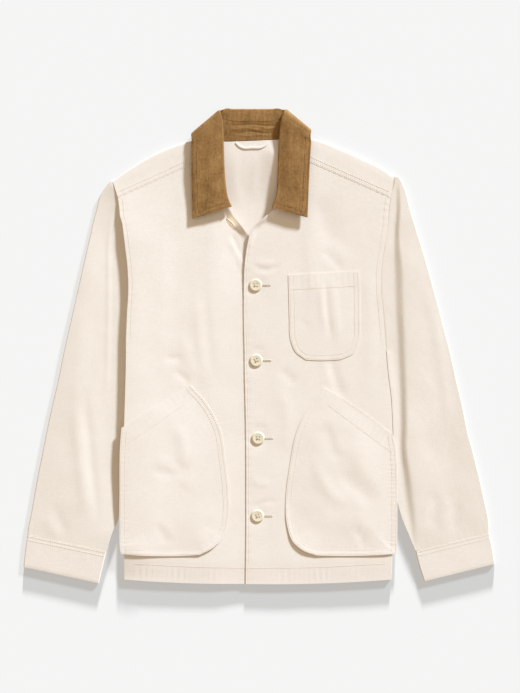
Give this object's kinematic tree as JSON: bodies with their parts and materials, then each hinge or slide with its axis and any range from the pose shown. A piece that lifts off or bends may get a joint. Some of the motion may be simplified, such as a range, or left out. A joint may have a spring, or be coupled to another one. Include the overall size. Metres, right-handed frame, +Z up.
{
  "type": "chore jacket laid flat",
  "caption": "Button-front canvas chore jacket with a corduroy collar, a chest pocket and slanted lower patch pockets, lying flat on its back.",
  "frame": {"origin": "middle of the jacket's outline, on the surface that it lies on", "axes": "+X to the wearer's left, +Y from hem to collar, +Z up from the surface towards the fronts"},
  "size_m": [0.7646, 0.7705, 0.0265],
  "materials": {
    "canvas": "matte cotton canvas, off-white",
    "corduroy": "fine-wale corduroy, brown, soft nap",
    "button": "horn-like beige, low sheen"
  },
  "bodies": {
    "root": {"back": "canvas", "front_left": "canvas", "front_right": "canvas", "sleeve_left": "canvas", "sleeve_right": "canvas", "cuff_left": "canvas", "cuff_right": "canvas", "chest_pocket": "canvas", "pocket_left": "canvas", "pocket_right": "canvas", "hang_loop": "canvas", "collar_stand": "corduroy", "collar_fall": "corduroy", "button_1": "button", "button_2": "button", "button_3": "button", "button_4": "button", "button_5": "button"}
  },
  "joints": []
}
